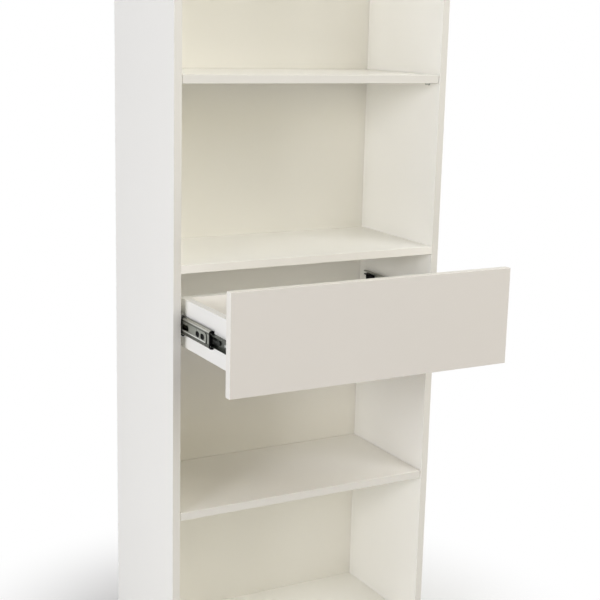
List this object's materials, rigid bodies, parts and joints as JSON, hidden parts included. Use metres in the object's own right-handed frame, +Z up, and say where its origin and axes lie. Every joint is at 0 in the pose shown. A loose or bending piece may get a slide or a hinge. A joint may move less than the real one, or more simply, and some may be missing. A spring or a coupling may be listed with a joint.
{
  "type": "tall bookcase with drawer",
  "caption": "Tall open bookcase of faced board, with loose shelves on pins and an overlay-front drawer on telescopic ball-bearing slides, shown part open.",
  "frame": {"origin": "on the floor, under the middle of the carcass", "axes": "+Z up, +Y to the wall behind, +X to the right seen from the front"},
  "size_m": [0.6, 0.5414, 2],
  "materials": {
    "board": "warm off-white satin faced board",
    "back_board": "warm off-white hardboard",
    "dowel_wood": "plain beech",
    "zinc": "bright zinc plate",
    "dark_plate": "dark passivated zinc plate",
    "bearing_steel": "polished",
    "black_plastic": "moulded black",
    "white_plastic": "moulded off-white",
    "soft_dot": "soft translucent dot"
  },
  "bodies": {
    "carcass": {"back_panel_lower": "back_board", "back_panel_upper": "back_board", "bottom_panel": "board", "dowels": "dowel_wood", "fixed_shelf": "board", "floor_glides": "white_plastic", "left_cabinet_rail": "zinc", "left_rear_catch": "black_plastic", "left_side_panel": "board", "lower_shelf": "board", "middle_shelf": "board", "plinth_board": "board", "right_cabinet_rail": "zinc", "right_rear_catch": "black_plastic", "right_side_panel": "board", "shelf_pins": "zinc", "top_panel": "board", "upper_shelf": "board", "wall_brackets": "zinc"},
    "drawer": {"drawer_back": "board", "drawer_bottom": "back_board", "drawer_bumpers": "soft_dot", "drawer_dowels": "dowel_wood", "drawer_front": "board", "drawer_side_left": "board", "drawer_side_right": "board", "left_drawer_rail": "dark_plate", "lever_rivets": "zinc", "right_drawer_rail": "dark_plate"},
    "middle_rails": {"left_middle_rail": "zinc", "right_middle_rail": "zinc", "left_rail_end_cap": "black_plastic", "right_rail_end_cap": "black_plastic"},
    "outer_cages": {"left_outer_cage": "black_plastic", "right_outer_cage": "black_plastic", "outer_balls": "bearing_steel"},
    "inner_cages": {"left_inner_cage": "black_plastic", "right_inner_cage": "black_plastic", "inner_balls": "bearing_steel"},
    "left_release_lever": {"left_release_lever": "black_plastic"},
    "right_release_lever": {"right_release_lever": "black_plastic"}
  },
  "joints": [
    {"name": "drawer_slide", "type": "slide", "parent": "carcass", "child": "drawer", "axis": [0, -1, 0], "range_m": [-0.2254, 0.0196]},
    {"name": "middle_rail_slide", "type": "slide", "parent": "carcass", "child": "middle_rails", "axis": [0, -1, 0], "range_m": [-0.12172, 0.01058]},
    {"name": "outer_cage_slide", "type": "slide", "parent": "carcass", "child": "outer_cages", "axis": [0, -1, 0], "range_m": [-0.06086, 0.00529]},
    {"name": "inner_cage_slide", "type": "slide", "parent": "carcass", "child": "inner_cages", "axis": [0, -1, 0], "range_m": [-0.17356, 0.01509]},
    {"name": "left_lever_hinge", "type": "hinge", "parent": "drawer", "child": "left_release_lever", "pos_m": [-0.2736, -0.2714, 0.8135], "axis": [1, 0, 0], "range_deg": [0, 8], "stiffness_Nm_per_rad": 0.05},
    {"name": "right_lever_hinge", "type": "hinge", "parent": "drawer", "child": "right_release_lever", "pos_m": [0.2736, -0.2714, 0.8135], "axis": [1, 0, 0], "range_deg": [0, 8], "stiffness_Nm_per_rad": 0.05}
  ],
  "couplings": [
    {"joint": "middle_rail_slide", "follows": "drawer_slide", "ratio": 0.54},
    {"joint": "outer_cage_slide", "follows": "drawer_slide", "ratio": 0.27},
    {"joint": "inner_cage_slide", "follows": "drawer_slide", "ratio": 0.77}
  ]
}
